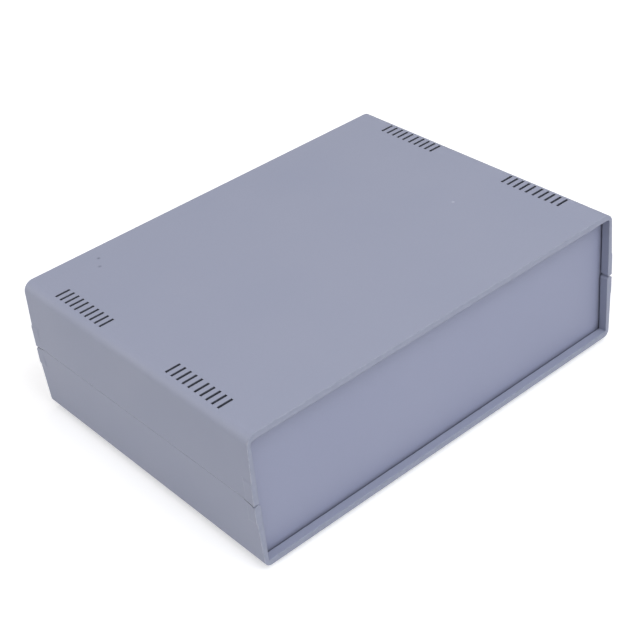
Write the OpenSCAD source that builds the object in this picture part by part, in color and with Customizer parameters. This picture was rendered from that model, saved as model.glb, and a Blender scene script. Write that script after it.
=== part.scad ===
// Vented plastic instrument case: two leaning half shells that meet at mid height,
// a flat panel held in grooves at each end, four screws from beneath and four rubber feet.
// +X is to the right, +Y to the rear, +Z up. The origin is on the ground below the centre.

/* [Case] */
// Width across the seam, where the side walls are widest
case_w = 260; // [220:1:320]
// Depth from the front frame's edge to the rear frame's edge
case_d = 192; // [170:1:240]
// Height of the base shell, from its underside to the seam
base_h = 42; // [34:1:60]
// Height of the cover, from the seam to its roof
cover_h = 40; // [30:1:60]
// Thickness of walls, floor and roof
wall_t = 2.4; // [2.2:0.1:3]
// Lean of the side walls towards the roof and the floor, in degrees
draft = 2; // [0.5:0.1:2.5]
// Radius of the cover's two long edges
cover_r = 6; // [5:0.5:10]
// Radius of the base shell's two long edges
base_r = 4; // [3:0.5:8]

/* [End frames] */
// Depth of the lip that frames each panel
lip_depth = 4.9; // [3:0.1:8]
// Thickness of the lip along the roof
lip_roof = 3.6; // [2.6:0.1:4]
// Thickness of the lip along the floor
lip_floor = 3.5; // [3:0.1:5]
// Thickness of the cover's lip at the seam
lip_side_cover = 3.3; // [3.2:0.1:4]
// Thickness of the base shell's lip at the seam
lip_side_base = 3.8; // [3.2:0.1:4.4]
// Radius in the top corners of the frame's opening
lip_corner_r = 2; // [1.5:0.1:3]
// Height of the upright pad on each wall end, from the seam
pad_h = 12; // [6:0.5:16]
// Length over which a pad's edges slope down to the wall
pad_fade = 2; // [1:0.5:3]
// Length of the pads, and of the hooks beneath the cover's wall ends
end_len = 7.5; // [6:0.5:12]

/* [Seam] */
// How far the cover's hooks reach below the seam at the frame's edge
hook_drop = 1; // [0.4:0.1:1.6]
// Gap beneath a hook
hook_gap = 0.6; // [0.4:0.1:1]
// Distance from the wall's outer face to the ridge under a hook
ridge_in = 2.2; // [1.4:0.1:2.6]
// How far that ridge slopes down to the lip's inner edge
inner_slope = 1.5; // [0.5:0.1:2.5]
// How far it slopes down to the outer edge, in the notch at the frame's edge
outer_slope = 1.4; // [0.5:0.1:2.5]
// Length of that notch along the wall
notch_len = 1.5; // [0.5:0.1:3]
// Bevel along the seam's outer edges
seam_bevel = 0.3; // [0.1:0.1:0.5]
// Thickness of the tongue on the base shell's walls
tongue_t = 1; // [0.8:0.1:1.2]
// Height of the tongue above the seam
tongue_h = 1.5; // [1:0.1:3]
// Clearance round the tongue
tongue_gap = 0.2; // [0.1:0.05:0.3]

/* [Panels] */
// Thickness of the front and rear panels
panel_t = 2; // [1.5:0.1:3]
// Wall left outside the panel grooves
groove_wall = 1.3; // [1.1:0.1:1.4]
// Clearance between a panel's edge and the bottom of its groove
panel_play = 0.25; // [0.1:0.05:0.3]
// Gap between the lip and the panel's face
panel_front_gap = 0.9; // [0.2:0.1:1.2]
// Gap between the panel's back and the rib behind it
panel_back_gap = 0.1; // [0.05:0.05:0.3]
// Thickness of the rib behind each panel
rib_t = 2; // [1.5:0.1:3]
// Height of that rib above the wall
rib_h = 4; // [2:0.5:6]

/* [Vents] */
// Slots in one group
vent_count = 10; // [4:2:14]
// Distance from slot to slot
vent_pitch = 4.5; // [3.5:0.1:4.8]
// Extra distance at the middle of a group
vent_middle = 0.6; // [0:0.1:2]
// Length of a slot, across the case
vent_len = 8.9; // [5:0.1:10]
// Width of a slot
vent_w = 1.5; // [1:0.1:2.2]
// Distance from the widest part of the side wall to a slot's centre
vent_inset = 10.8; // [10:0.1:14]
// Distance from the case's middle to a group's centre
vent_y = 49.3; // [40:0.1:50]
// How far all the groups sit towards the rear
vent_shift = 1; // [0:0.1:3]

/* [Screws] */
// Distance from the widest part of the side wall to a screw's axis
post_inset_x = 14; // [12:0.5:20]
// Distance from the frame's edge to a screw's axis
post_inset_y = 18.5; // [16:0.5:20]
// Radius of the base shell's screw posts
post_r = 5; // [4.8:0.1:6]
// Radius of the cover's bosses
boss_r = 4.5; // [3.5:0.1:6]
// Gap between a post's top and its boss
boss_gap = 0.2; // [0.1:0.1:0.6]
// Thickness of the web that the screw's head pulls on
web_t = 4; // [3:0.5:6]
// Thickness of the fins that tie posts and bosses to the side walls
fin_t = 1.6; // [1.2:0.1:2.4]
// Radius of the screw's shank
screw_r = 1.75; // [1.5:0.05:2]
// Radius of the screw's head
head_r = 3.2; // [2.8:0.1:3.4]
// Height of the screw's head
head_h = 2.4; // [2:0.1:3]
// Bevel round the top of the head
head_bevel = 0.6; // [0.2:0.1:1]
// Span of the cross recess in the head
cross_span = 3.8; // [3:0.1:4.6]
// Width of the cross recess's arms
cross_w = 0.8; // [0.6:0.1:1.2]
// Depth of the cross recess
cross_depth = 1.2; // [0.8:0.1:1.6]
// Length of the screw's shank
screw_len = 16; // [12:1:20]
// Clearance round the shank and round the head
screw_gap = 0.25; // [0.15:0.05:0.3]

/* [Feet] */
// Height of a foot below the underside
foot_h = 3.5; // [2:0.5:6]
// Radius of a foot at the underside
foot_r = 6.5; // [5.5:0.5:8]
// How much narrower a foot is at the ground than at the underside
foot_taper = 1.3; // [0.5:0.1:2]
// Height of the bevel round a foot's lower edge
foot_bevel = 0.4; // [0.2:0.1:0.8]
// Radius of the hollow in the middle of a foot
foot_hollow_r = 2.2; // [1.5:0.1:2.8]
// Depth of that hollow
foot_hollow_h = 0.9; // [0.5:0.1:1.2]
// Depth of the recess that holds a foot
foot_seat = 0.8; // [0.4:0.1:1.2]
// Distance from the widest part of the side wall to a foot's centre
foot_inset_x = 34; // [28:1:45]

/* [Board stand-offs] */
// Distance between stand-offs across the case
board_x = 160; // [100:5:180]
// Distance between stand-offs along the case's depth
board_y = 110; // [60:5:120]
// Height of the stand-offs above the floor
standoff_h = 6; // [4:1:10]
// Radius of the stand-offs
standoff_r = 3; // [2.5:0.1:4]
// Radius of the screw holes in the stand-offs
standoff_hole_r = 1.25; // [1:0.05:1.5]

/* [Hidden] */

shell_colour = [0.61, 0.62, 0.70];
panel_colour = [0.58, 0.60, 0.68];
arc_steps = 14;          // straight steps in a quarter round of a section
past = 1;                // how far a cut runs past the face that it opens
sharp_r = 0.5;           // radius of a corner that is left nearly sharp
sunk = 0.1;              // how far a sloping edge ends below the face that it meets
hook_root = 0.3;         // how far a hook reaches up into the wall end
front_y = -case_d / 2;
seam_z = foot_h + base_h;
groove_w = panel_front_gap + panel_t + panel_back_gap;
rib_y = case_d / 2 - lip_depth - groove_w - rib_t;      // inner face of the ribs
panel_inset = groove_wall + panel_play;
post_x = case_w / 2 - post_inset_x;
post_y = case_d / 2 - post_inset_y;
foot_x = case_w / 2 - foot_inset_x;
hole_r = screw_r + screw_gap;
well_r = head_r + screw_gap;
tongue_y = rib_y - past;                                // half length of the tongue
vent_half = (vent_count - 1) / 2;
corners = [[-1, -1], [1, -1], [-1, 1], [1, 1]];         // left and right, front and rear

// Points of a round with radius r about (x, z), from angle a to angle b
function arc(x, z, r, a, b) = [
    for (i = [0:arc_steps])
        let (t = a + (b - a) * i / arc_steps) [x + r * cos(t), z + r * sin(t)]
];

// A right-hand outline, closed by its own mirror image
function both_sides(right) = concat(
    right,
    [for (i = [len(right) - 1:-1:0]) [-right[i][0], right[i][1]]]
);

// Right-hand wall of a half shell of height h with edge radius r, taken t inside its
// outer face. It starts at the height z0 next to the seam and closes at h - t.
function wall_side(h, r, t, z0) =
    let (
        round = max(r - t, sharp_r),
        z = h - t - round,
        x = case_w / 2 - (t + round) / cos(draft) - z * tan(draft)
    )
    concat(
        [[case_w / 2 - t / cos(draft) - z0 * tan(draft), z0]],
        arc(x, z, round, draft, 90)
    );

// Section of a half shell, from one wall over the closed side to the other wall
function shell_section(h, r, t = 0, z0 = 0) = both_sides(wall_side(h, r, t, z0));

// Opening of a frame: upright sides s inside the widest wall, and t below the roof
function lip_section(h, s, t, r) = both_sides(concat(
    [[case_w / 2 - s, -past]],
    arc(case_w / 2 - s - r, h - t - r, r, 0, 90)
));

// A section in X and Z, carried along Y from y0 to y1
module along(points, y0, y1) {
    translate([0, y1, 0])
        rotate([90, 0, 0])
            linear_extrude(y1 - y0)
                polygon(points);
}

// A side view in Y and Z, carried along X from x0 to x1
module across(points, x0, x1) {
    translate([x0, 0, 0])
        rotate([90, 0, 90])
            linear_extrude(x1 - x0)
                polygon(points);
}

// The child for the front end, and its mirror image for the rear end
module both_ends() {
    children();
    mirror([0, 1, 0]) children();
}

module both_walls() {
    children();
    mirror([1, 0, 0]) children();
}

module at_corners(x, y) {
    for (c = corners) translate([c[0] * x, c[1] * y, 0]) children();
}

// Pads on one end's two wall ends. They are upright where the wall leans, so they stand
// out of it more and more towards their sloping upper edge.
module pads() {
    root_x = case_w / 2 - groove_wall * 0.9;
    faded_x = case_w / 2 - (pad_h + pad_fade) * tan(draft) - sunk;
    both_walls()
        intersection() {
            along(
                [
                    [root_x, 0],
                    [case_w / 2, 0],
                    [case_w / 2, pad_h],
                    [faded_x, pad_h + pad_fade],
                    [root_x, pad_h + pad_fade]
                ],
                front_y,
                front_y + end_len
            );
            linear_extrude(pad_h + pad_fade)
                polygon([
                    [root_x, front_y],
                    [case_w / 2, front_y],
                    [case_w / 2, front_y + end_len - pad_fade],
                    [faded_x, front_y + end_len],
                    [root_x, front_y + end_len]
                ]);
        }
}

// Height of a hook's lower edge, y inside the frame's edge
function hook_z(y) = -hook_drop * (1 - y / end_len);

// Side view of a hook from the frame's edge to y inside it
function hook_side(y) = [
    [front_y, hook_root],
    [front_y, hook_z(0)],
    [front_y + y, hook_z(y)],
    [front_y + y, hook_root]
];

// Hooks beneath one end's two wall ends, for a lip that is s thick at the seam
module hooks(s) {
    both_walls() {
        across(hook_side(lip_depth), case_w / 2 - s, case_w / 2);
        across(hook_side(end_len), case_w / 2 - groove_wall, case_w / 2);
    }
}

// Room for the hooks in one end's two wall ends, for a lip that is s thick at the seam.
// What is left of the lip ends in a ridge that slopes down to both sides.
module hook_seats(s) {
    ridge_x = case_w / 2 - ridge_in;
    ridge_z = hook_gap - hook_z(lip_depth / 2);
    inner_x = case_w / 2 - s;
    both_walls() {
        across(
            [
                [front_y - past, -past],
                [front_y - past, hook_gap - hook_z(-past)],
                [front_y + end_len, hook_gap],
                [front_y + end_len, -past]
            ],
            inner_x - past,
            case_w / 2 + past
        );
        along(
            [
                [ridge_x, -past],
                [ridge_x, ridge_z],
                [inner_x - past, ridge_z + inner_slope * (s - ridge_in + past) / (s - ridge_in)],
                [inner_x - past, -past]
            ],
            front_y - past,
            front_y + lip_depth
        );
        along(
            [
                [ridge_x, -past],
                [ridge_x, ridge_z],
                [case_w / 2 + past, ridge_z + outer_slope * (ridge_in + past) / ridge_in],
                [case_w / 2 + past, -past]
            ],
            front_y - past,
            front_y + notch_len
        );
    }
}

// A half shell with the seam at z = 0 and its closed side up, without its fittings.
// s and t are the lip's thickness at the sides and at the closed side.
module half_shell(h, r, s, t, corner_r) {
    difference() {
        union() {
            hollow_shell(h, r, s, t, corner_r);
            both_ends() pads();
        }
        both_walls() seam_groove();
    }
}

// The shell's walls, with the lip, groove and rib of the frame at each end
module hollow_shell(h, r, s, t, corner_r) {
    difference() {
        along(shell_section(h, r), -case_d / 2, case_d / 2);
        both_ends() {
            along(
                lip_section(h, s, t, corner_r),
                front_y - past,
                front_y + lip_depth + groove_w / 2
            );
            along(
                shell_section(h, r, groove_wall, -past),
                front_y + lip_depth,
                front_y + lip_depth + groove_w
            );
        }
        along(
            shell_section(h, r, wall_t + rib_h, -past),
            -case_d / 2 - past,
            case_d / 2 + past
        );
        along(shell_section(h, r, wall_t, -past), -rib_y, rib_y);
    }
}

// Bevel along the outer edge of a wall at the seam
module seam_groove() {
    along(
        [
            [case_w / 2 - seam_bevel, -past],
            [case_w / 2 - seam_bevel, 0],
            [case_w / 2 + past, seam_bevel + past],
            [case_w / 2 + past, -past]
        ],
        front_y + end_len,
        -front_y - end_len
    );
}

// The four groups of slots through a roof or a floor whose outer face is at z = h
module vents(h) {
    for (c = corners, i = [0:vent_count - 1]) {
        gap = (i < vent_count / 2 ? -1 : 1) * vent_middle / 2;
        translate([
            c[0] * (case_w / 2 - vent_inset),
            c[1] * vent_y + vent_shift + (i - vent_half) * vent_pitch + gap,
            h - wall_t / 2
        ])
            cube([vent_len, vent_w, wall_t + 2 * past], center = true);
    }
}

// Fin from a post's axis to the side wall, from z0 up to the closed side at h
module fins(h, r, z0) {
    both_walls() both_ends()
        intersection() {
            translate([post_x, -post_y - fin_t / 2, z0])
                cube([post_inset_x, fin_t, h - z0]);
            along(shell_section(h, r, wall_t / 2), -case_d / 2, case_d / 2);
        }
}

module top_cover() {
    color(shell_colour)
        translate([0, 0, seam_z])
            difference() {
                union() {
                    half_shell(cover_h, cover_r, lip_side_cover, lip_roof, lip_corner_r);
                    both_ends() hooks(lip_side_cover);
                    at_corners(post_x, post_y)
                        translate([0, 0, boss_gap])
                            cylinder(r = boss_r, h = cover_h - wall_t / 2 - boss_gap, $fn = 48);
                    fins(cover_h, cover_r, tongue_h + past);
                }
                vents(cover_h);
                // rebate that the tongue stands in
                both_walls()
                    translate([
                        case_w / 2 - wall_t - past,
                        -tongue_y - tongue_gap,
                        -past
                    ])
                        cube([
                            tongue_t + tongue_gap + past,
                            2 * (tongue_y + tongue_gap),
                            tongue_h + tongue_gap + past
                        ]);
                at_corners(post_x, post_y)
                    translate([0, 0, -past])
                        cylinder(r = hole_r, h = screw_len - web_t + 2 * past, $fn = 32);
            }
}

module base_shell() {
    color(shell_colour)
        translate([0, 0, seam_z])
            difference() {
                union() {
                    mirror([0, 0, 1]) {
                        half_shell(base_h, base_r, lip_side_base, lip_floor, sharp_r);
                        at_corners(post_x, post_y)
                            cylinder(r = post_r, h = base_h - wall_t / 2, $fn = 48);
                        fins(base_h, base_r, past);
                        at_corners(board_x / 2, board_y / 2)
                            translate([0, 0, base_h - wall_t - standoff_h])
                                cylinder(r = standoff_r, h = standoff_h + wall_t / 2, $fn = 32);
                    }
                    tongues();
                }
                mirror([0, 0, 1]) {
                    vents(base_h);
                    both_ends() hook_seats(lip_side_base);
                }
                at_corners(post_x, post_y) {
                    translate([0, 0, -base_h - past])
                        cylinder(r = well_r, h = base_h - web_t + past, $fn = 48);
                    translate([0, 0, -web_t - past])
                        cylinder(r = hole_r, h = web_t + 2 * past, $fn = 32);
                }
                at_corners(foot_x, post_y)
                    translate([0, 0, -base_h - past])
                        cylinder(r = foot_r + panel_play, h = foot_seat + past, $fn = 48);
                at_corners(board_x / 2, board_y / 2)
                    translate([0, 0, wall_t - base_h])
                        cylinder(r = standoff_hole_r, h = standoff_h + past, $fn = 32);
            }
}

// Tongues along the inner side of the base shell's walls, rooted below the seam
module tongues() {
    both_walls()
        translate([case_w / 2 - wall_t, -tongue_y, -past])
            cube([tongue_t, 2 * tongue_y, tongue_h + past]);
}

// A panel's outline follows the cover above the seam and the base shell below it
function panel_outline() =
    let (
        upper = wall_side(cover_h, cover_r, panel_inset, 0),
        lower = wall_side(base_h, base_r, panel_inset, 0)
    )
    both_sides(concat(
        [for (i = [len(upper) - 1:-1:0]) upper[i]],
        [for (i = [1:len(lower) - 1]) [lower[i][0], -lower[i][1]]]
    ));

// A panel at the front end
module panel() {
    face_y = front_y + lip_depth + panel_front_gap;
    color(panel_colour)
        translate([0, 0, seam_z])
            along(panel_outline(), face_y, face_y + panel_t);
}

module front_panel() {
    panel();
}

module rear_panel() {
    mirror([0, 1, 0]) panel();
}

// Pan-head screw with a cross recess, head down, in the post at corner i
module case_screw(i) {
    color("silver")
        translate([corners[i][0] * post_x, corners[i][1] * post_y, seam_z - web_t])
            difference() {
                union() {
                    cylinder(r = screw_r, h = screw_len, $fn = 32);
                    translate([0, 0, -head_h])
                        rotate_extrude($fn = 48)
                            polygon([
                                [0, 0],
                                [head_r - head_bevel, 0],
                                [head_r, head_bevel],
                                [head_r, head_h],
                                [0, head_h]
                            ]);
                }
                for (a = [0, 90])
                    rotate(a)
                        translate([-cross_span / 2, -cross_w / 2, -head_h - past])
                            cube([cross_span, cross_w, cross_depth + past]);
            }
}

// Rubber foot under the base shell at corner i
module foot(i) {
    color([0.12, 0.12, 0.13])
        translate([corners[i][0] * foot_x, corners[i][1] * post_y, 0])
            rotate_extrude($fn = 48)
                polygon([
                    [0, foot_hollow_h],
                    [foot_hollow_r, foot_hollow_h],
                    [foot_hollow_r, 0],
                    [foot_r - foot_taper, 0],
                    [foot_r - foot_taper / 2, foot_bevel],
                    [foot_r, foot_h],
                    [foot_r, foot_h + foot_seat],
                    [0, foot_h + foot_seat]
                ]);
}

top_cover();
base_shell();
front_panel();
rear_panel();
case_screw(0);  // case_screw_1
case_screw(1);  // case_screw_2
case_screw(2);  // case_screw_3
case_screw(3);  // case_screw_4
foot(0);  // foot_1
foot(1);  // foot_2
foot(2);  // foot_3
foot(3);  // foot_4
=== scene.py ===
# %% [markdown]
# # A plastic project box
#
# The object is an instrument case of the kind that hobby and bench equipment is built in: two injection
# moulded half shells, a flat panel at each end, four case screws from beneath and four rubber feet. The
# exact shapes come from the construction model. Here they get their finishes, a few finely made
# pieces, the light and the camera.
#
# The first cell loads the construction model. Everything in it is in metres and stays where it is.

# %% Load the construction model
import math

import bpy
import numpy as np
from mathutils import Matrix, Vector


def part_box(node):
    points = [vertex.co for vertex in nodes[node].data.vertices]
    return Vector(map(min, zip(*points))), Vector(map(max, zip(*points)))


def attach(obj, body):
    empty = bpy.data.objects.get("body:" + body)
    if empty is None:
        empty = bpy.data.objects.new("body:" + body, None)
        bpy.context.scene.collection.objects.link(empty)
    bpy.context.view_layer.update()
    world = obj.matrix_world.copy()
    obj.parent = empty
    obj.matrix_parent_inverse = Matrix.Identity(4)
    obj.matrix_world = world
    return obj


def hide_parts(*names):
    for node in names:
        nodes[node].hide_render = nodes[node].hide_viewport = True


MM = 0.001

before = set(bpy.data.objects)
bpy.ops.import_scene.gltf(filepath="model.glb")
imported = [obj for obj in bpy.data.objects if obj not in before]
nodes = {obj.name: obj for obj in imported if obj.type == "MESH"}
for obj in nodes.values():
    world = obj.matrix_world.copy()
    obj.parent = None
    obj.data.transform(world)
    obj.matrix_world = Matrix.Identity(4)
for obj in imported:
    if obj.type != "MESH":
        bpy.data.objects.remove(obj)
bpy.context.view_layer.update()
scene = bpy.context.scene
scene.view_settings.view_transform = "Standard"
print("nodes:", ", ".join(sorted(nodes)))

# %% [markdown]
# ## Two small helpers for materials
#
# A colour is picked on screen as a hex value, which is sRGB. Light adds up in linear values, so a shader
# needs the linear number: one function turns one into the other. A second function adds a shader node,
# sets its properties and inputs, and links what is passed as a socket. With it a material reads like a
# list.

# %% Colour and node helpers
def linear(hex_code):
    """sRGB hex to linear RGBA: c / 12.92 below 0.04045, else ((c + 0.055) / 1.055) to the power 2.4."""
    c = np.array([int(hex_code[i:i + 2], 16) for i in (1, 3, 5)]) / 255
    rgb = np.where(c <= 0.04045, c / 12.92, ((c + 0.055) / 1.055) ** 2.4)
    return (*map(float, rgb), 1.0)


def add_node(tree, kind, props=None, **inputs):
    """Add one node. props are its own settings; inputs are sockets by name or number (as _0, _1 ...)."""
    node = tree.nodes.new(kind)
    for name, value in (props or {}).items():
        setattr(node, name, value)
    for name, value in inputs.items():
        key = int(name[1:]) if name[0] == "_" else name.replace("_", " ")
        socket = node.inputs[key]
        if isinstance(value, bpy.types.NodeSocket):
            tree.links.new(value, socket)
        else:
            socket.default_value = value
    return node


def new_material(name):
    """An empty node material, with its output."""
    material = bpy.data.materials.new(name)
    material.use_nodes = True
    material.node_tree.nodes.clear()
    return material, material.node_tree, material.node_tree.nodes.new("ShaderNodeOutputMaterial")


# %% [markdown]
# ## Wear, painted highlights and painted shade on the plastic
#
# A moulded case is never evenly coloured. Its sharp edges rub on the bench and go pale, and a painted
# highlight is laid along them and on the frames' faces. Shade is painted into the joints and onto the vent
# slots' walls.
# All three could be painted on a texture. Here the shader works them out from the shape, so they stay right
# if a size changes:
# a Bevel node tells where an edge is, Ambient Occlusion tells how much free air a point has round it, and
# the slots' own place tells where the vents are.

# %% Worn edges and painted highlights
# Sizes in mm: the rounding that makes an edge visible, and the noise that breaks the wear up.
EDGE_ROUND, RUB_SCALE = 0.6, 4
# The pale colour is rubbed wear on outer edges and also a painted highlight there; on the frames' faces it is
# a painted highlight.
EDGE_PALE, FRAME_RUB_AND_HIGHLIGHT, ROOF_SHARE = "#CDD0DA", 0.11, 0.08

half_width, half_depth, roof_z = (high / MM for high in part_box("top_cover")[1])
floor_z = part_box("base_shell")[0][2] / MM
middle_z = (roof_z + floor_z) / 2


def outer_side(tree, rounded, place):
    """1 where the normal points away from the case's middle line, which runs from front to rear, else 0."""
    offset = add_node(tree, "ShaderNodeVectorMath", {"operation": "SUBTRACT"}, _0=place,
                      _1=(0.0, 0.0, middle_z * MM)).outputs[0]
    across = add_node(tree, "ShaderNodeVectorMath", {"operation": "MULTIPLY"}, _0=offset,
                      _1=(1.0, 0.0, 1.0)).outputs[0]
    away = add_node(tree, "ShaderNodeVectorMath", {"operation": "DOT_PRODUCT"}, _0=across, _1=rounded)
    return add_node(tree, "ShaderNodeMath", {"operation": "GREATER_THAN"}, _0=away.outputs["Value"],
                    _1=0.0).outputs[0]


def edge_wear_and_highlight(tree, rounded, place, amount):
    """(Outer edges * amount * share + faces of the frames * FRAME_RUB_AND_HIGHLIGHT) * a noise that breaks
    the wear up.

    There is an edge where the rounded normal leaves the true one, and a frame's face where |y| is largest. On
    outer edges the pale is partly rubbed wear and partly a painted highlight; on the frames' faces it is a
    painted highlight, patchy by the same noise.
    Edges that face up rub less than those that touch the bench: they get ROOF_SHARE of it."""
    true = add_node(tree, "ShaderNodeNewGeometry").outputs["Normal"]
    facing = add_node(tree, "ShaderNodeVectorMath", {"operation": "DOT_PRODUCT"}, _0=rounded, _1=true)
    edge = add_node(tree, "ShaderNodeMapRange", Value=facing.outputs["Value"], From_Min=0.995, From_Max=0.93,
                    To_Min=0.0, To_Max=amount).outputs["Result"]
    up = add_node(tree, "ShaderNodeSeparateXYZ", Vector=rounded).outputs[2]
    share = add_node(tree, "ShaderNodeMapRange", Value=up, From_Min=0.1, From_Max=0.5, To_Min=1.0,
                     To_Max=ROOF_SHARE).outputs["Result"]
    outer = add_node(tree, "ShaderNodeMath", {"operation": "MULTIPLY"}, _0=edge,
                     _1=outer_side(tree, rounded, place)).outputs[0]
    outer = add_node(tree, "ShaderNodeMath", {"operation": "MULTIPLY"}, _0=outer, _1=share).outputs[0]
    y = add_node(tree, "ShaderNodeSeparateXYZ", Vector=place).outputs[1]
    y = add_node(tree, "ShaderNodeMath", {"operation": "ABSOLUTE"}, _0=y).outputs[0]
    frame_face = add_node(tree, "ShaderNodeMapRange", Value=y, From_Min=(half_depth - 0.7) * MM,
                          From_Max=(half_depth - 0.1) * MM, To_Min=0.0, To_Max=FRAME_RUB_AND_HIGHLIGHT).outputs["Result"]
    rub = add_node(tree, "ShaderNodeTexNoise", Vector=place, Scale=1 / (RUB_SCALE * MM), Detail=5.0)
    patchy = add_node(tree, "ShaderNodeMapRange", Value=rub.outputs["Fac"], From_Min=0.38, From_Max=0.62,
                      To_Min=0.4, To_Max=1.0).outputs["Result"]
    worn_and_highlit = add_node(tree, "ShaderNodeMath", {"operation": "ADD"}, _0=outer, _1=frame_face).outputs[0]
    return add_node(tree, "ShaderNodeMath", {"operation": "MULTIPLY"}, _0=worn_and_highlit, _1=patchy).outputs[0]


# %% [markdown]
# ## Painted shade
#
# Shade is painted into the colour here: both helpers give a factor between 0 and 1 that multiplies the tone.
# In the joints it is a plain range over the free air. In the vents it acts where the surface is steep, which
# is on the slots' walls and rounded rims, and only inside four boxes that hold the slots.

# %% Painted shade in joints and vents
# How dark the painted shade gets, in the joints and on the vents' walls.
JOINT_SHADE, VENT_SHADE = 0.6, 0.3
# In mm: how far the slots' middle is from the case's side, half a slot with its rims, the middle and half
# length of a group, and a little more than the wall's thickness.
VENT_INSET, VENT_HALF_X, VENT_Y, WALL = 10.8, 5.0, (50.0, 23.0), 3.0
VENT_X = (half_width - VENT_INSET, VENT_HALF_X)
BETWEEN_WALLS = (middle_z, (roof_z - floor_z) / 2 - WALL)


def painted_shade_in_joints(tree, reach_mm):
    """Painted shade in the joints: 1 on open faces, down to its darkest where less than a tenth of the air
    within reach is free.
    """
    free = add_node(tree, "ShaderNodeAmbientOcclusion", {"samples": 8}, Distance=reach_mm * MM)
    return add_node(tree, "ShaderNodeMapRange", Value=free.outputs["AO"], From_Min=0.1, From_Max=0.75,
                    To_Min=JOINT_SHADE, To_Max=1.0).outputs["Result"]


def vent_zone(tree, place):
    """1 in the four vent groups of roof and floor: in the ranges of |x| and |y|, and not between the walls.

    A range is its centre and half its width, in mm."""
    def within(value, centre_mm, half_mm):
        size = add_node(tree, "ShaderNodeMath", {"operation": "ABSOLUTE"}, _0=value).outputs[0]
        return add_node(tree, "ShaderNodeMath", {"operation": "COMPARE"}, _0=size, _1=centre_mm * MM,
                        _2=half_mm * MM).outputs[0]

    x, y, z = add_node(tree, "ShaderNodeSeparateXYZ", Vector=place).outputs
    level = add_node(tree, "ShaderNodeMath", {"operation": "MULTIPLY"}, _0=within(x, *VENT_X),
                     _1=within(y, *VENT_Y)).outputs[0]
    return add_node(tree, "ShaderNodeMath", {"operation": "SUBTRACT", "use_clamp": True}, _0=level,
                    _1=within(z, *BETWEEN_WALLS)).outputs[0]


def painted_shade_in_vents(tree, rounded, zone):
    """Painted shade in the vents: 1, less in the zone as the rounded normal leaves the vertical, darkest on
    upright walls.
    """
    upright = add_node(tree, "ShaderNodeSeparateXYZ", Vector=rounded).outputs[2]
    upright = add_node(tree, "ShaderNodeMath", {"operation": "ABSOLUTE"}, _0=upright).outputs[0]
    steep = add_node(tree, "ShaderNodeMapRange", Value=upright, From_Min=0.94, From_Max=0.6, To_Min=0.0,
                     To_Max=1.0 - VENT_SHADE).outputs["Result"]
    lost = add_node(tree, "ShaderNodeMath", {"operation": "MULTIPLY"}, _0=steep, _1=zone).outputs[0]
    return add_node(tree, "ShaderNodeMath", {"operation": "SUBTRACT"}, _0=1.0, _1=lost).outputs[0]


# %% [markdown]
# ## Single marks
#
# A few marks belong to this very case: two dark specks near the left vents, a pale scuff on the roof and a
# rubbed corner at the front left. Each is a soft round spot about a point, given in millimetres like every
# other size.

# %% Marks on the shells
SPECKS = [((-86.6, 85.0, roof_z), 1.3, "#5E6172", 0.9), ((-90.9, 77.5, roof_z), 1.4, "#696C7C", 0.8)]
SCUFFS = [((81.2, -22.2, roof_z), 1.2, "#D2D4DC", 0.6),
          ((1 - half_width, -half_depth, roof_z - 3.5), 1.3, "#E0E2E8", 0.45)]


def marked(tree, place, tone, marks):
    """The tone with each mark mixed in, as strength times (1 - distance to the centre / radius), from 0.

    A mark is its centre in mm, radius in mm, colour and strength."""
    for centre_mm, radius_mm, hex_code, strength in marks:
        centre = tuple(v * MM for v in centre_mm)
        gap = add_node(tree, "ShaderNodeVectorMath", {"operation": "DISTANCE"}, _0=place, _1=centre)
        spot = add_node(tree, "ShaderNodeMapRange", Value=gap.outputs["Value"], From_Min=0.0,
                        From_Max=radius_mm * MM, To_Min=strength, To_Max=0.0).outputs["Result"]
        tone = add_node(tree, "ShaderNodeMix", {"data_type": "RGBA"}, Factor=spot, _6=tone,
                        _7=linear(hex_code)).outputs[2]
    return tone


# %% [markdown]
# ## The case plastic: moulded ABS
#
# Both shells and both panels are injection moulded ABS, a tough grey plastic. The steel mould is eroded by
# sparks, so the part comes out with a fine, even grain and a dull sheen. To the eye that means one cool
# grey colour and a broad soft highlight, with a tone that drifts a little over a hand's width.
#
# The real grain is about 0.15 mm. That is too fine to show, so it is drawn at 0.6 mm, and kept low. The
# panels come from another mould with a finer finish. Their colour is a shade lighter, as painted light that
# offsets the shade of their recess.

# %% Moulded ABS
CLOUD_MM, GRAIN_FLECK, SHEEN_DRIFT = 60, 0.015, 0.03


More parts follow.
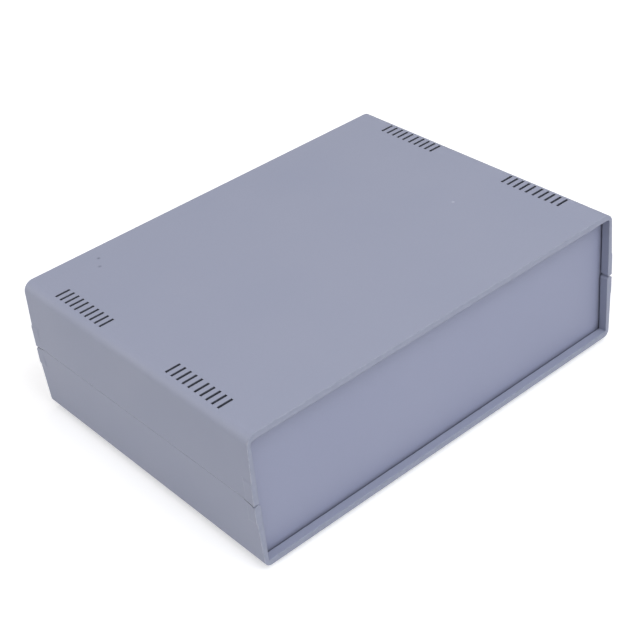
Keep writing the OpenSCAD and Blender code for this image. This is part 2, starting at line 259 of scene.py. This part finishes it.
def moulded_abs(name, colour, tint, grain_mm, grain_height_mm, roughness, wear_and_highlight, shade_reach_mm, marks=()):
    """Moulded ABS: base colour, cloudy tint, marks, grain, pale worn edges with a painted highlight, and
    painted shade in joints and vents.
    """
    material, tree, out = new_material(name)
    place = add_node(tree, "ShaderNodeTexCoord").outputs["Object"]
    clouds = add_node(tree, "ShaderNodeTexNoise", Vector=place, Scale=1 / (CLOUD_MM * MM), Detail=3.0)
    grain = add_node(tree, "ShaderNodeTexNoise", Vector=place, Scale=1 / (grain_mm * MM), Detail=2.0)
    rounded = add_node(tree, "ShaderNodeBevel", {"samples": 6}, Radius=EDGE_ROUND * MM).outputs["Normal"]

    tone = add_node(tree, "ShaderNodeMix", {"data_type": "RGBA"}, Factor=clouds.outputs["Fac"],
                    _6=linear(colour), _7=linear(tint)).outputs[2]
    tone = marked(tree, place, tone, marks)
    fleck = add_node(tree, "ShaderNodeMapRange", Value=grain.outputs["Fac"], From_Min=0.3, From_Max=0.7,
                     To_Min=1 - GRAIN_FLECK, To_Max=1 + GRAIN_FLECK).outputs["Result"]
    tone = add_node(tree, "ShaderNodeVectorMath", {"operation": "SCALE"}, _0=tone, Scale=fleck).outputs[0]

    zone = vent_zone(tree, place)
    # Pale rubbed edges with a painted highlight, and a painted highlight on the frames' faces, none in the
    # vents.
    rubbed = add_node(tree, "ShaderNodeMath", {"operation": "SUBTRACT", "use_clamp": True},
                      _0=edge_wear_and_highlight(tree, rounded, place, wear_and_highlight), _1=zone).outputs[0]
    tone = add_node(tree, "ShaderNodeMix", {"data_type": "RGBA"}, Factor=rubbed, _6=tone,
                    _7=linear(EDGE_PALE)).outputs[2]
    # Painted shade: darker in the joints and on the vents' walls.
    for painted_shade in (painted_shade_in_joints(tree, shade_reach_mm), painted_shade_in_vents(tree, rounded, zone)):
        tone = add_node(tree, "ShaderNodeVectorMath", {"operation": "SCALE"}, _0=tone, Scale=painted_shade).outputs[0]

    sheen = add_node(tree, "ShaderNodeMapRange", Value=clouds.outputs["Fac"], From_Min=0.3, From_Max=0.7,
                     To_Min=roughness - SHEEN_DRIFT, To_Max=roughness + SHEEN_DRIFT).outputs["Result"]
    bump = add_node(tree, "ShaderNodeBump", Strength=0.5, Distance=grain_height_mm * MM,
                    Height=grain.outputs["Fac"], Normal=rounded).outputs["Normal"]
    shader = add_node(tree, "ShaderNodeBsdfPrincipled", Base_Color=tone, Roughness=sheen, IOR=1.54,
                      Normal=bump)
    tree.links.new(shader.outputs[0], out.inputs["Surface"])
    return material


shell_finish = moulded_abs("moulded_abs_shell", "#989CAF", "#959AAE", grain_mm=0.6, grain_height_mm=0.03,
                           roughness=0.56, wear_and_highlight=0.95, shade_reach_mm=3.0, marks=SPECKS + SCUFFS)
# The panel's colour is painted lighter than the shell's, as painted light against the shade in its recess.
panel_finish = moulded_abs("moulded_abs_panel", "#9DA1B8", "#9A9EB6", grain_mm=0.45, grain_height_mm=0.02,
                           roughness=0.5, wear_and_highlight=0.2, shade_reach_mm=7.0)
print("made", shell_finish.name, "and", panel_finish.name)

# %% [markdown]
# ## Zinc and rubber
#
# The case screws are mild steel with a thin bright zinc plating. Zinc scatters a little, so the highlight
# is soft, and each head has a slightly different tone. The feet are black moulded rubber: a very dark
# grey, dull, with a faint bloom.

# %% Plated steel and rubber
def plated_steel(name):
    """Zinc-plated steel: a metal with a soft gloss and patches of different brightness."""
    material, tree, out = new_material(name)
    place = add_node(tree, "ShaderNodeTexCoord").outputs["Object"]
    patch = add_node(tree, "ShaderNodeTexNoise", Vector=place, Scale=1 / (1.2 * MM), Detail=4.0)
    tone = add_node(tree, "ShaderNodeMix", {"data_type": "RGBA"}, Factor=patch.outputs["Fac"],
                    _6=linear("#B9BBBD"), _7=linear("#D3D4D2")).outputs[2]
    gloss = add_node(tree, "ShaderNodeMapRange", Value=patch.outputs["Fac"], To_Min=0.24, To_Max=0.42)
    shader = add_node(tree, "ShaderNodeBsdfPrincipled", Base_Color=tone, Metallic=1.0,
                      Roughness=gloss.outputs["Result"])
    tree.links.new(shader.outputs[0], out.inputs["Surface"])
    return material


def moulded_rubber(name):
    """Black rubber: nearly black, dull, finely pitted."""
    material, tree, out = new_material(name)
    place = add_node(tree, "ShaderNodeTexCoord").outputs["Object"]
    pits = add_node(tree, "ShaderNodeTexNoise", Vector=place, Scale=1 / (0.5 * MM), Detail=3.0)
    tone = add_node(tree, "ShaderNodeMix", {"data_type": "RGBA"}, Factor=pits.outputs["Fac"],
                    _6=linear("#1E1E1F"), _7=linear("#2C2C2E")).outputs[2]
    bump = add_node(tree, "ShaderNodeBump", Strength=0.4, Distance=0.03 * MM, Height=pits.outputs["Fac"])
    shader = add_node(tree, "ShaderNodeBsdfPrincipled", Base_Color=tone, Roughness=0.78, IOR=1.52,
                      Normal=bump.outputs["Normal"])
    tree.links.new(shader.outputs[0], out.inputs["Surface"])
    return material


zinc = plated_steel("zinc_plated_steel")
rubber = moulded_rubber("black_rubber")

# %% [markdown]
# ## Finishes on the construction pieces
#
# The two shells and the two panels keep their exact construction shapes, so they only need their finish.
# A material slot is filled on the piece itself, and nothing in its mesh is changed.

# %% Finishes on the shells and panels
finish_of = {"top_cover": shell_finish, "base_shell": shell_finish, "front_panel": panel_finish,
             "rear_panel": panel_finish}
for name, finish in finish_of.items():
    for slot in nodes[name].material_slots:
        slot.material = finish
print("finished", len(finish_of), "construction pieces")

# %% [markdown]
# ## Screws and feet as computed surfaces
#
# Both are turned shapes: every point has an angle round the axis and a place along a profile. That makes a
# grid of two parameters, which numpy computes as one array. A thread or a recess is then one more term in
# the formula, which a plain lathe could not give. The helper below closes such a grid into a skin.

# %% A skin over rings
def skin(name, rings, finish, smooth_deg=35.0):
    """A closed mesh over rings[m, n, 3], each ring counted anticlockwise seen from above.

    Quads join each ring to the next, with the last point joined to the first, and the first and last
    ring close on their own middle point."""
    m, n = rings.shape[:2]
    points = np.concatenate([rings.reshape(-1, 3), rings[[0, -1]].mean(axis=1)])
    i, j = np.meshgrid(np.arange(m - 1), np.arange(n), indexing="ij")
    k = (j + 1) % n
    quads = np.stack([i * n + j, i * n + k, (i + 1) * n + k, (i + 1) * n + j], axis=-1).reshape(-1, 4)
    here = np.arange(n)
    after = (here + 1) % n
    first, last = np.full(n, m * n), np.full(n, m * n + 1)
    top = (m - 1) * n
    caps = np.concatenate([np.stack([first, after, here], axis=-1),
                           np.stack([last, top + here, top + after], axis=-1)])
    mesh = bpy.data.meshes.new(name)
    mesh.from_pydata(points.tolist(), [], quads.tolist() + caps.tolist())
    mesh.polygons.foreach_set("use_smooth", np.ones(len(mesh.polygons), dtype=bool))
    mesh.set_sharp_from_angle(angle=math.radians(smooth_deg))
    mesh.materials.append(finish)
    piece = bpy.data.objects.new(name, mesh)
    scene.collection.objects.link(piece)
    return piece


def along_profile(corners, counts):
    """Points along straight runs between corners: counts[i] points on run i, without its far end."""
    runs = [np.linspace(a, b, c, endpoint=False) for a, b, c in zip(corners, corners[1:], counts)]
    return np.concatenate(runs + [np.array(corners[-1:], dtype=float)])


# %% [markdown]
# ## Case screws
#
# A case like this is closed with thread-forming screws: a pan head with a cross recess, a thin shank and a
# sharp, widely spaced thread that cuts its own way into the plastic boss. Head, underside and shank are
# one profile. The thread adds to the radius by the distance from a helix, and the recess lifts the middle
# of the head by the distance from the walls of a cross.

# %% Case screws
HEAD_H, HEAD_BEVEL, SHANK_R, ROOT_R = 2.4, 0.7, 1.75, 1.28
THREAD_PITCH, THREAD_WIDTH, TIP = 1.3, 0.3, 2.6
CROSS_SPAN, CROSS_W, CROSS_DEPTH = 3.8, 0.8, 1.2


def case_screw(name, low, high):
    """Thread-forming screw, head down, between the corners low and high of its box.

    Radius = profile + thread, where thread = crest height times (1 - distance to the helix / half width),
    never below 0. Height = profile + recess, where recess = depth times the smaller of the distances to the
    cross's side wall and end, each over its slope, from 0 to 1."""
    middle_x, middle_y = (low[0] + high[0]) / 2, (low[1] + high[1]) / 2
    head_r, length = (high[0] - low[0]) / 2 / MM, (high[2] - low[2]) / MM
    corners = [(0.05, 0), (2.1, 0), (head_r - HEAD_BEVEL, 0.08), (head_r - 0.2, 0.3), (head_r, 0.75),
               (head_r, HEAD_H - 0.25), (head_r - 0.2, HEAD_H), (ROOT_R, HEAD_H),
               (ROOT_R, length - TIP), (0.35, length)]
    r, z = along_profile(corners, [20, 3, 2, 2, 2, 1, 3, 110, 22]).T
    angle = np.linspace(0, 2 * np.pi, 72, endpoint=False)
    r, z, angle = (a + np.zeros((len(r), len(angle))) for a in (r[:, None], z[:, None], angle[None, :]))

    turn = (z / THREAD_PITCH - angle / (2 * np.pi)) % 1.0
    off_helix = np.abs(turn - 0.5) * THREAD_PITCH
    crest = np.clip(1 - off_helix / THREAD_WIDTH, 0, 1) * (SHANK_R - ROOT_R)
    fade = np.clip((z - HEAD_H - 0.6) / 1.0, 0, 1) * np.clip((length - 0.4 - z) / TIP, 0, 1)
    r = r + crest * fade

    x, y = r * np.cos(angle), r * np.sin(angle)

    def arm(u, v):
        return np.clip(np.minimum((CROSS_W / 2 - np.abs(v)) / 0.12, (CROSS_SPAN / 2 - np.abs(u)) / 0.7), 0, 1)

    recess = np.maximum(arm(x, y), arm(y, x)) * CROSS_DEPTH * (z < 0.05)
    rings = np.stack([x * MM + middle_x, y * MM + middle_y, (z + recess) * MM + low[2]], axis=-1)
    return skin(name, rings, zinc)


for name in sorted(n for n in nodes if n.startswith("case_screw")):
    screw = case_screw("threaded_" + name, *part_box(name))
    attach(screw, "case")
    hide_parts(name)
    print("made", screw.name, "with", len(screw.data.polygons), "faces")

# %% [markdown]
# ## Rubber feet
#
# Each foot is a moulded rubber button: it tapers to the ground, its edges are round, and a hollow in the
# middle lets it grip. Two fine rings are moulded into the tread. The shape is a lathe profile, and the
# rounds are quarter circles of a few steps in it.

# %% Rubber feet
FOOT_DROP, FOOT_TAPER, FOOT_ROUND, HOLLOW_R, HOLLOW_H = 3.5, 1.3, 0.5, 2.2, 0.9
TREAD_GROOVE = ((-0.18, 0), (-0.08, 0.14), (0.08, 0.14), (0.18, 0))


def quarter(r0, z0, radius, start_deg, end_deg, steps=6):
    """Points of an arc about (r0, z0), between two angles in degrees."""
    t = np.radians(np.linspace(start_deg, end_deg, steps))
    return np.stack([r0 + radius * np.cos(t), z0 + radius * np.sin(t)], axis=-1)


def rubber_foot(name, low, high):
    """A foot in the box from low to high: its profile from the hollow to the top, turned about its axis."""
    middle_x, middle_y = (low[0] + high[0]) / 2, (low[1] + high[1]) / 2
    outer, height = (high[0] - low[0]) / 2 / MM, (high[2] - low[2]) / MM
    tread = outer - FOOT_TAPER
    rings_at = [HOLLOW_R + (tread - HOLLOW_R) * f for f in (0.36, 0.68)]
    grooves = [(at + dr, dz) for at in rings_at for dr, dz in TREAD_GROOVE]
    profile = np.concatenate([
        [(0.3, HOLLOW_H), (HOLLOW_R - 0.5, HOLLOW_H)],
        quarter(HOLLOW_R - 0.3, HOLLOW_H - 0.3, 0.3, 80, 0, 4),
        quarter(HOLLOW_R + 0.3, 0.3, 0.3, 180, 260, 4),
        grooves,
        quarter(tread - FOOT_ROUND, FOOT_ROUND, FOOT_ROUND, -90, -15),
        [(outer, FOOT_DROP), (outer, height - 0.1), (outer - 0.1, height), (0.3, height)],
    ])
    angle = np.linspace(0, 2 * np.pi, 64, endpoint=False)
    r, z = profile[:, 0, None], profile[:, 1, None] + 0 * angle
    rings = np.stack([r * np.cos(angle) * MM + middle_x, r * np.sin(angle) * MM + middle_y,
                      z * MM + low[2]], axis=-1)
    return skin(name, rings, rubber)


for name in sorted(n for n in nodes if n.startswith("foot")):
    foot = rubber_foot("moulded_" + name, *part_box(name))
    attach(foot, "case")
    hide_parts(name)
    print("made", foot.name, "with", len(foot.data.polygons), "faces")

# %% [markdown]
# ## Floor
#
# The box stands on a pale floor that runs into a white background. The floor takes the box's shadow, and a
# glow that only the camera and shiny surfaces see lifts it towards white, through the Light Path node. Far
# from the box the lamps fade, so for the camera the glow grows with the distance until it is white by itself.
# No more light reaches the box through that.

# %% Floor
FLOOR_HALF, FLOOR_GLOW, WHITE_FROM, WHITE_AT = 4.0, 0.5, 0.25, 1.0

floor_mesh = bpy.data.meshes.new("floor")
floor_mesh.from_pydata([(x * FLOOR_HALF, y * FLOOR_HALF, 0) for x, y in ((-1, -1), (1, -1), (1, 1), (-1, 1))],
                       [], [(0, 1, 2, 3)])
floor = bpy.data.objects.new("floor", floor_mesh)
scene.collection.objects.link(floor)

floor_finish, tree, out = new_material("pale_floor")
path = add_node(tree, "ShaderNodeLightPath")
place = add_node(tree, "ShaderNodeTexCoord").outputs["Object"]
far = add_node(tree, "ShaderNodeVectorMath", {"operation": "LENGTH"}, _0=place)
to_white = add_node(tree, "ShaderNodeMapRange", {"interpolation_type": "SMOOTHSTEP"},
                    Value=far.outputs["Value"], From_Min=WHITE_FROM, From_Max=WHITE_AT, To_Min=FLOOR_GLOW,
                    To_Max=1.0).outputs["Result"]
direct = add_node(tree, "ShaderNodeMath", {"operation": "MULTIPLY"}, _0=to_white,
                  _1=path.outputs["Is Camera Ray"]).outputs[0]
mirrored = add_node(tree, "ShaderNodeMath", {"operation": "MULTIPLY"}, _0=path.outputs["Is Glossy Ray"],
                    _1=FLOOR_GLOW).outputs[0]
lift = add_node(tree, "ShaderNodeMath", {"operation": "ADD"}, _0=direct, _1=mirrored).outputs[0]
matte = add_node(tree, "ShaderNodeBsdfDiffuse", Color=(0.8, 0.8, 0.8, 1.0))
glow = add_node(tree, "ShaderNodeEmission", Strength=lift)
both = add_node(tree, "ShaderNodeAddShader", _0=matte.outputs[0], _1=glow.outputs[0])
tree.links.new(both.outputs[0], out.inputs["Surface"])
floor_mesh.materials.append(floor_finish)

# %% [markdown]
# ## Background
#
# The background is one even colour. Seen straight, in a shiny surface or through glass it has a strength of
# 1, which is white. As a light it is faint, so that the lamps model the case and its joints stay dark.

# %% World
SKY_LIGHT, SKY_SEEN = 0.15, 1.0

world = bpy.data.worlds.new("studio")
scene.world = world
world.use_nodes = True
tree = world.node_tree
tree.nodes.clear()
path = add_node(tree, "ShaderNodeLightPath")
seen = add_node(tree, "ShaderNodeMath", {"operation": "MAXIMUM"}, _0=path.outputs["Is Camera Ray"],
                _1=path.outputs["Is Glossy Ray"]).outputs[0]
seen = add_node(tree, "ShaderNodeMath", {"operation": "MAXIMUM"}, _0=seen,
                _1=path.outputs["Is Transmission Ray"]).outputs[0]
level = add_node(tree, "ShaderNodeMapRange", Value=seen, To_Min=SKY_LIGHT,
                 To_Max=SKY_SEEN).outputs["Result"]
sky = add_node(tree, "ShaderNodeBackground", Color=(1.0, 1.0, 1.0, 1.0), Strength=level)
out = add_node(tree, "ShaderNodeOutputWorld", Surface=sky.outputs[0])

# %% [markdown]
# ## Lamps
#
# Four large square lamps light the case as a small studio does. One hangs overhead and lights the roof, a
# second stands high in front for the panel, and the third, behind on the left, lights the left wall. The
# fourth is weak and fills in from the front left. Their colours differ very little from white.

# %% Lamps
def softbox(name, place, aim, size, power, hex_code):
    """A square area lamp at place, turned towards aim."""
    data = bpy.data.lights.new(name, "AREA")
    data.shape = "SQUARE"
    data.size = size
    data.energy = power
    data.color = linear(hex_code)[:3]
    lamp = bpy.data.objects.new(name, data)
    lamp.location = place
    lamp.rotation_euler = (Vector(aim) - Vector(place)).to_track_quat("-Z", "Y").to_euler()
    scene.collection.objects.link(lamp)


middle = (0.0, 0.0, 0.045)
softbox("overhead", (0.0, -0.1, 1.7), middle, 1.6, 10.8, "#FFFBFC")
softbox("front_high", (0.2, -1.2, 1.4), middle, 1.4, 19.4, "#F4F8FF")
softbox("left_rear", (-1.4, 1.0, 0.7), middle, 1.2, 10.5, "#FFFEFC")
softbox("left_front", (-1.3, -1.1, 0.7), middle, 1.2, 1.6, "#F6FCFF")

# %% [markdown]
# ## Camera
#
# The view is a product view from the front left and above, with a fairly long lens. It is set by angles: the
# turn about the vertical, the height above level, and a small roll about the line of sight.

# %% Camera
TURN, HEIGHT, ROLL = (math.radians(a) for a in (-37.865, 34.832, 6.2955))
AIM = Vector((-4.63, -0.26, 40.12)) * MM
DISTANCE = 791.63 * MM

camera_data = bpy.data.cameras.new("camera")
camera_data.sensor_width = 36.0
camera_data.lens = 79.93
camera = bpy.data.objects.new("camera", camera_data)
scene.collection.objects.link(camera)
scene.camera = camera

back = Vector((math.sin(TURN) * math.cos(HEIGHT), -math.cos(TURN) * math.cos(HEIGHT), math.sin(HEIGHT)))
level_right = back.cross(Vector((0, 0, 1))).normalized() * -1
level_up = back.cross(level_right)
right = level_right * math.cos(ROLL) - level_up * math.sin(ROLL)
up = level_up * math.cos(ROLL) + level_right * math.sin(ROLL)
turned = Matrix((right, up, back)).transposed().to_4x4()
camera.matrix_world = Matrix.Translation(AIM + back * DISTANCE) @ turned
print("camera at", [round(v, 4) for v in camera.matrix_world.translation])
